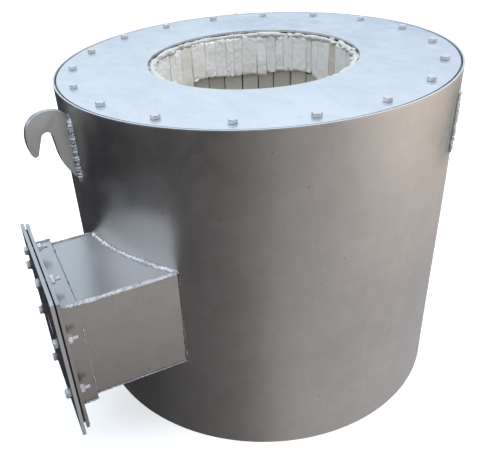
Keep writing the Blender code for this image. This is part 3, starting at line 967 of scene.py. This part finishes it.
def weld_bead(shape, points, out_of, width, proud, pitch=2.6, seed=0, lumps=1.0, sides=12):
    """Adds a closed, rippled bead, sized in millimetres. out_of gives the metal's way out at a place."""
    width, proud, pitch = width * MM, proud * MM, pitch * MM
    samples, total = resample(points, pitch / 5)
    shift = Vector((seed * 3.7, seed * 1.3, 0))
    rings = []
    for i, (p, t) in enumerate(samples):
        ahead = samples[min(i + 1, len(samples) - 1)][0] - samples[max(i - 1, 0)][0]
        along = ahead.normalized()
        out = out_of(p)
        out = (out - along * out.dot(along)).normalized()
        side = along.cross(out)
        ripple = abs(sin(pi * t / pitch))
        uneven = noise.noise(Vector((t * 90, 0, 0)) + shift)
        blob = noise.noise(Vector((t * 420, 5, 0)) + shift)
        end = min(1.0, 0.25 + min(t, total - t) / (0.8 * width))
        half = 0.5 * width * end * (1 + lumps * (0.22 * uneven + 0.1 * blob))
        rise = proud * end * (0.84 + 0.16 * ripple) * (1 + lumps * (0.3 * uneven + 0.25 * blob))
        ring = []
        for k in range(sides):
            a = tau * k / sides
            across, up = cos(a), sin(a)
            bump = 1 + 0.35 * lumps * noise.noise(p * 420 + Vector((k * 0.9, 0, 0)) + shift)
            height = rise * up * bump if up > 0 else 0.35 * width * up
            lag = along * (0.45 * pitch * across * across)
            ring.append(shape.verts.new(p + side * (half * across) + out * height + lag))
        rings.append(ring)
    shape.faces.new(rings[0])
    shape.faces.new(rings[-1])
    bridge(shape, rings)


def weld_piece(name, shape, material, slot):
    settle(mesh_object(name, shape, material, 60), slot)


def on_drum(x, z):
    """The point of the dented sheet's front half at some X."""
    radius = DRUM_RADIUS - sheet_inset(-acos(x / DRUM_RADIUS), z)
    return Vector((x, -sqrt(radius**2 - x * x), z))


def line(a, b, steps=12):
    return [Vector(a).lerp(Vector(b), i / steps) for i in range(steps + 1)]


def upright(foot, low, high, steps=10):
    """A path straight up from a point on the floor."""
    return line(foot + Vector((0, 0, low)), foot + Vector((0, 0, high)), steps)


def facing(*way):
    """The same way out everywhere."""
    out = Vector(way).normalized()
    return lambda p: out


def fillet(x, y, z):
    """Halfway between the drum's way out and another sheet's."""
    other = Vector((x, y, z))
    return lambda p: (radial(p) + other).normalized()


def make_duct_welds():
    """Fillets where the duct meets the drum, and seams along its corners."""
    x0, x1, z0, z1 = DUCT_LOW.x, DUCT_HIGH.x, DUCT_LOW.z, DUCT_HIGH.z
    across = [x0 + (x1 - x0) * i / 40 for i in range(41)]
    top, under = ([on_drum(x, z) for x in across] for z in (z1, z0))
    bright, plain, dull = bmesh.new(), bmesh.new(), bmesh.new()
    weld_bead(bright, top, fillet(0, 0, 1), 10, 3.6, 3.6, 1, 1.5)
    weld_bead(plain, under, fillet(0, 0, -1), 8, 2.8, seed=2)
    for seed, (x, way) in enumerate([(x0, -1), (x1, 1)], 3):
        path = line(on_drum(x, z0), on_drum(x, z1))
        weld_bead(dull, path, fillet(way, 0, 0), 5, 1.4, 5, seed, 1.6)
    for seed, (x, z) in enumerate(product((x0, x1), (z0, z1)), 5):
        path = line(on_drum(x, z), (x, COLLAR_BACK_Y, z))
        upper = z == z1
        width, proud = (6.5, 1.1) if upper else (4.2, 0.9)
        out = facing(x - DUCT_X, 0, z - DUCT_Z)
        weld_bead(bright if upper else plain, path, out, width, proud, 3.6, seed, 1.3)
    weld_piece("duct_welds_upper", bright, BRIGHT_WELD, "duct_steel")
    weld_piece("duct_welds_lower", plain, WELD, "duct_steel")
    weld_piece("duct_welds_side", dull, DULL_WELD, "duct_steel")


def make_collar_welds():
    """Tacks and thin edge beads between collar and duct, the top and bottom edge beads dark as a painted
    shade line, and the mitre seams of the angle iron.
    """
    beads, soot_and_shade = bmesh.new(), bmesh.new()
    out, back, tack = ANGLE_SLACK + ANGLE_THICK, COLLAR_BACK_Y, 7 * MM
    seed = 20
    for sign in (-1, 1):
        upwards, sideways = facing(0, 0.4, sign), facing(sign, 0.4, 0)
        for share in (-0.62, 0.45):
            x, z = DUCT_X + sign * (DUCT_HALF_X + out), DUCT_Z + share * DUCT_HALF_Z
            path = line((x, back, z - tack), (x, back, z + tack), 4)
            weld_bead(beads, path, sideways, 3.2, 1.4, 4, seed + 1, 1.5)
            x, z = DUCT_X + share * DUCT_HALF_X, DUCT_Z + sign * (DUCT_HALF_Z + out)
            path = line((x - 0.5 * tack, back, z), (x + 0.5 * tack, back, z), 4)
            weld_bead(soot_and_shade, path, upwards, 3.0, 1.2, 4, seed + 2, 1.5)
            seed += 2
        # painted shade: a thin dark bead along the collar's top and bottom back edges
        x, z = DUCT_HALF_X - 2 * MM, DUCT_Z + sign * (DUCT_HALF_Z + out - 0.3 * MM)
        path = line((DUCT_X - x, back, z), (DUCT_X + x, back, z), 20)
        weld_bead(soot_and_shade, path, upwards, 1.5, 0.6, 6, seed + 1, 1.2)
        x, z = DUCT_X + sign * (DUCT_HALF_X + out - 0.3 * MM), DUCT_HALF_Z - 2 * MM
        path = line((x, back, DUCT_Z - z), (x, back, DUCT_Z + z), 20)
        weld_bead(beads, path, sideways, 1.1, 0.5, 6, seed + 2, 1.2)
        seed += 2
    weld_piece("collar_edge_shade_line", soot_and_shade, DULL_WELD, "duct_steel")
    leg_back = size_of("flange_angle_top")[0].y + ANGLE_THICK
    edge_x = size_of("flange_angle_right")[1].x - DUCT_X - 2 * MM
    edge_z = size_of("flange_angle_top")[1].z - DUCT_Z - 2 * MM
    for sx, sz in product((-1, 1), repeat=2):
        seed += 1
        x, z = DUCT_X + sx * (DUCT_HALF_X + out), DUCT_Z + sz * (DUCT_HALF_Z + out)
        path = line((x, leg_back, z), (x, back - MM, z), 6)
        weld_bead(beads, path, facing(sx, 0, sz), 6.5, 1.5, 5, seed, 1.8)
        path = line((x, leg_back, z), (DUCT_X + sx * edge_x, leg_back, DUCT_Z + sz * edge_z), 6)
        weld_bead(beads, path, facing(0, 1, 0), 5, 1.2, 4, seed + 40, 1.4)
    weld_piece("collar_welds", beads, WELD, "duct_steel")


def make_drum_seams():
    """The drum's own long seam, at the back."""
    beads = bmesh.new()
    azimuth, sink, end = radians(112), 1.0 * MM, 3 * MM
    path = upright(polar(DRUM_RADIUS - sink, azimuth), end, DRUM_TOP - end, 20)
    weld_bead(beads, path, radial, 5.5, 1.3, 3.4, 60)
    weld_piece("drum_seam", beads, WELD, "drum_steel")


# Lifting hooks ----


def hook_outline():
    """The CAD hook's outline with finer arcs: out from the drum's axis, and up."""
    foot = (DRUM_RADIUS, HOOK_FOOT_Z)
    points = [foot]
    for place in arc((0, 0), 1, 150, -14, 48):
        rounded = [copysign(abs(t) ** (2 / HOOK_CROWN_POWER), t) for t in place]
        points.append([c + h * t for c, h, t in zip(HOOK_CROWN, HOOK_CROWN_HALF, rounded)])
    points += arc(HOOK_TIP, HOOK_TIP_RADIUS, -10, -170, 14)
    points += arc(HOOK_EYE, HOOK_EYE_RADIUS, 13, 172, 18)
    for i in range(14):
        t = i / 14
        near, middle, far = (1 - t) ** 2, 2 * t * (1 - t), t**2
        points.append([near * a + middle * b + far * c for a, b, c in zip(HOOK_NECK, HOOK_BELLY, foot)])
    return [(max(u, DRUM_RADIUS), v) for u, v in points]


def hook_axes(angle):
    """The hook's way out from the drum, and the way across it."""
    return polar(1, angle), polar(1, angle + pi / 2)


def make_hook(number, angle):
    half = HOOK_THICK / 2
    shape = prism(hook_outline(), -half, half, lambda u, v, w: (u, w, v))
    for face in shape.faces:
        face.material_index = 0 if len(face.verts) > 4 else 1
    spin(shape, angle)
    hook = mesh_object(f"hook_{number}", shape, HOOK_STEEL, 30)
    hook.data.materials.append(CUT_EDGE)
    bevel(hook, 0.8 * MM, 3, 50)
    applied(hook, 30)
    settle(hook, "hook_steel", f"lifting_hook_{number}")

    out, across = hook_axes(angle)
    beads = bmesh.new()
    for sign in (-1, 1):
        base = out * (DRUM_RADIUS + 0.6 * MM) + across * (sign * (half + 0.6 * MM))
        path = upright(base, HOOK_FOOT_Z, HOOK_SHOULDER_Z)
        seed = 70 + number * 2 + sign
        weld_bead(beads, path, facing(*(out + across * sign)), 14, 5.0, 5.5, seed, 1.8)
    for z, tilt in ((HOOK_FOOT_Z - MM, -1), (HOOK_SHOULDER_Z + 2 * MM, 1)):
        base = out * DRUM_RADIUS + Vector((0, 0, z))
        path = line(base - across * half, base + across * half, 6)
        way = facing(out.x, out.y, tilt)
        weld_bead(beads, path, way, 9, 3.4, 3, 90 + number + tilt, 1.5)
    weld_piece(f"hook_weld_{number}", beads, WELD, "hook_steel")


def make_bare_weld():
    """The third position, 120 degrees on: a double bead as wide as a hook's foot."""
    out, across = hook_axes(BARE_WELD_ANGLE)
    beads = bmesh.new()
    for seed, side in ((97, -1), (98, 1)):
        base = out * DRUM_RADIUS + across * (side * 2.6 * MM)
        path = upright(base, HOOK_FOOT_Z, HOOK_SHOULDER_Z - 4 * MM)
        weld_bead(beads, path, radial, 7.5, 3.6, 5.0, seed, 1.6)
    weld_piece("bare_weld", beads, BRIGHT_WELD, "drum_steel")


# CAD nodes that keep their shape ----


def dress(node, material, edge=0.0):
    item = frame["nodes"][node]
    for slot in item.material_slots:
        slot.material = material
    if not item.material_slots:
        item.data.materials.append(material)
    if edge:
        bevel(item, edge, 2, 50)


def dress_nodes():
    for side in ("top", "bottom", "left", "right"):
        # painted shade: the sides and bottom take the darker duct steel
        steel = DUCT_TOP_STEEL if side == "top" else DUCT_STEEL
        dress(f"duct_{side}", steel, 0.5 * MM)
        dress(f"flange_angle_{side}", steel, 1.2 * MM)
    dress("burner_plate", BURNER_STEEL, 0.6 * MM)
    dress("gasket", GASKET)
    dress("base_plate", DARK_STEEL)
    # painted shade: the dark ring darkens the gap between the cover ring and the drum
    dress("top_ring", DARK_STEEL)
    dress("duct_lining", FIBRE_LOWER)
    dress("hearth_floor", HEARTH)


# Stage ----

CAMERA_PLACE = (0.9378, -0.4905, 0.8866)
CAMERA_AIM = (-0.0416, -0.1059, 0.2367)
CAMERA_ROLL = radians(4.72)
CAMERA_LENS = 43.3                  # on a 36 mm wide sensor
CAMERA_SHIFT = (0.0872, 0.0094)


def aimed(item, place, aim, roll=0.0):
    """Shows a camera or a light at a place, looking at another."""
    place = Vector(place)
    turned = (place - Vector(aim)).to_track_quat("Z", "Y").to_matrix().to_4x4()
    item.matrix_world = Matrix.Translation(place) @ turned @ Matrix.Rotation(-roll, 4, "Z")
    SHOWN.link(item)


def make_camera():
    data = bpy.data.cameras.new("camera")
    data.lens = CAMERA_LENS
    data.shift_x, data.shift_y = CAMERA_SHIFT
    camera = bpy.data.objects.new("camera", data)
    aimed(camera, CAMERA_PLACE, CAMERA_AIM, CAMERA_ROLL)
    bpy.context.scene.camera = camera


def make_floor():
    """A pale floor. Metal reflects the studio's own soft gradient in its place."""
    half, gap = 6.0, 0.5 * MM
    shape = prism([(-half, -half), (half, -half), (half, half), (-half, half)], -20 * MM, -gap)
    s = Surface("floor", 0.0, 0.9)
    s.colour(s.mix(s.noise(3.0, 3.0, 0.5), (0.8, 0.8, 0.79), (0.84, 0.84, 0.83)))
    s.set("Emission Color", (1.0, 0.99, 0.97, 1.0))
    s.set("Emission Strength", 0.42)
    floor = mesh_object("floor", shape, s.material)
    floor.visible_glossy = False


# The studio's light in rings from the ground up: angle in degrees from +X, then red, green and blue.
# Each ring takes over from the one before between two values of the direction's Z.
STUDIO_RINGS = [
    (None, [
        (-180, 0.05, 0.05, 0.055), (-126, 0.05, 0.05, 0.055), (-108, 0.062, 0.062, 0.066),
        (-89, 0.11, 0.11, 0.112), (-70, 0.135, 0.135, 0.137), (-50, 0.175, 0.173, 0.175),
        (-31, 0.26, 0.256, 0.256), (-14, 0.47, 0.46, 0.46), (8, 0.54, 0.53, 0.535),
        (30, 0.58, 0.57, 0.58), (65, 0.62, 0.61, 0.63), (110, 0.55, 0.55, 0.58), (180, 0.05, 0.05, 0.055),
    ]),
    ((-0.58, -0.31), [
        (-180, 0.04, 0.04, 0.044), (-126, 0.036, 0.038, 0.044), (-104, 0.036, 0.036, 0.038),
        (-89, 0.075, 0.074, 0.076), (-70, 0.08, 0.078, 0.078), (-50, 0.1, 0.096, 0.096),
        (-31, 0.165, 0.157, 0.154), (-22, 0.205, 0.195, 0.19), (-14, 0.33, 0.312, 0.307),
        (8, 0.46, 0.436, 0.427), (27, 0.73, 0.69, 0.655), (44, 1.1, 1.02, 0.95), (62, 1.2, 1.09, 0.985),
        (84, 1.06, 0.94, 0.82), (104, 0.82, 0.74, 0.68), (122, 0.72, 0.67, 0.63),
        (180, 0.04, 0.04, 0.044),
    ]),
    ((-0.02, 0.14), [
        (-180, 0.75, 0.87, 1.0), (-150, 0.45, 0.52, 0.62), (-120, 0.35, 0.4, 0.5), (-60, 0.35, 0.4, 0.48),
        (0, 0.8, 0.8, 0.8), (60, 0.9, 0.88, 0.86), (96, 0.52, 0.58, 0.68), (120, 0.24, 0.34, 0.52),
        (141, 0.27, 0.38, 0.56), (160, 0.52, 0.65, 0.8), (180, 0.75, 0.87, 1.0),
    ]),
    ((0.2, 0.31), [
        (-180, 0.86, 0.99, 1.12), (-158, 0.22, 0.25, 0.29), (-140, 0.7, 0.78, 0.88),
        (-122, 1.6, 1.8, 2.05), (-96, 1.3, 1.5, 1.75), (-60, 0.9, 1.0, 1.15), (0, 0.85, 0.9, 0.96),
        (90, 0.86, 0.94, 1.02), (135, 0.95, 1.08, 1.21), (180, 0.86, 0.99, 1.12),
    ]),
]
BRIGHTEST = 3.0                         # above every value in the rings, since a ramp ends at 1
BACK_WALL = (0.93, 0.94, 0.95)          # what shows past the floor's edge


def make_world():
    """A soft studio: a cool sky, and a lower half that goes from dark at one side to warm and light."""
    world = bpy.data.worlds.new("studio")
    bpy.context.scene.world = world
    g = Graph(world)
    way = g.add("TexCoord").outputs["Generated"]
    x, y, z = g.add("SeparateXYZ", Vector=way).outputs
    share = g.math("MULTIPLY_ADD", g.math("ARCTAN2", y, x), 1 / tau, 0.5)
    light = None
    for band, stops in STUDIO_RINGS:
        stops = [((angle + 180) / 360, tuple(c / BRIGHTEST for c in rgb)) for angle, *rgb in stops]
        ring = g.ramp(share, *stops, blend="EASE")
        if band:
            settings = {"interpolation_type": "SMOOTHSTEP"}
            rise = g.add("MapRange", settings, Value=z, From_Min=band[0], From_Max=band[1])
            ring = g.mix(rise.outputs["Result"], light, ring)
        light = ring
    seen = g.add("LightPath").outputs["Is Camera Ray"]
    background = g.nodes["Background"].inputs
    g.feed(background["Color"], g.mix(seen, light, tuple(c / BRIGHTEST for c in BACK_WALL)))
    g.feed(background["Strength"], BRIGHTEST)


def make_light():
    """A wide, faint panel overhead, a little behind the forge."""
    data = bpy.data.lights.new("sky_panel", "AREA")
    data.shape = "DISK"
    data.size = 2.4
    data.energy = 60
    data.color = (0.95, 0.98, 1.0)
    light = bpy.data.objects.new("sky_panel", data)
    light.visible_glossy = False
    aimed(light, (0.3, 0.5, 2.6), (0, 0, 0.5))


make_camera()
make_floor()
make_world()
make_light()
bpy.context.scene.view_settings.view_transform = "Standard"
make_drum()
make_cover_ring()
make_fasteners()
make_blanket()
make_lining()
make_fluff()
make_duct_welds()
make_collar_welds()
make_drum_seams()
for hook_number, hook_angle in enumerate(HOOK_ANGLES, 1):
    make_hook(hook_number, hook_angle)
make_bare_weld()
dress_nodes()
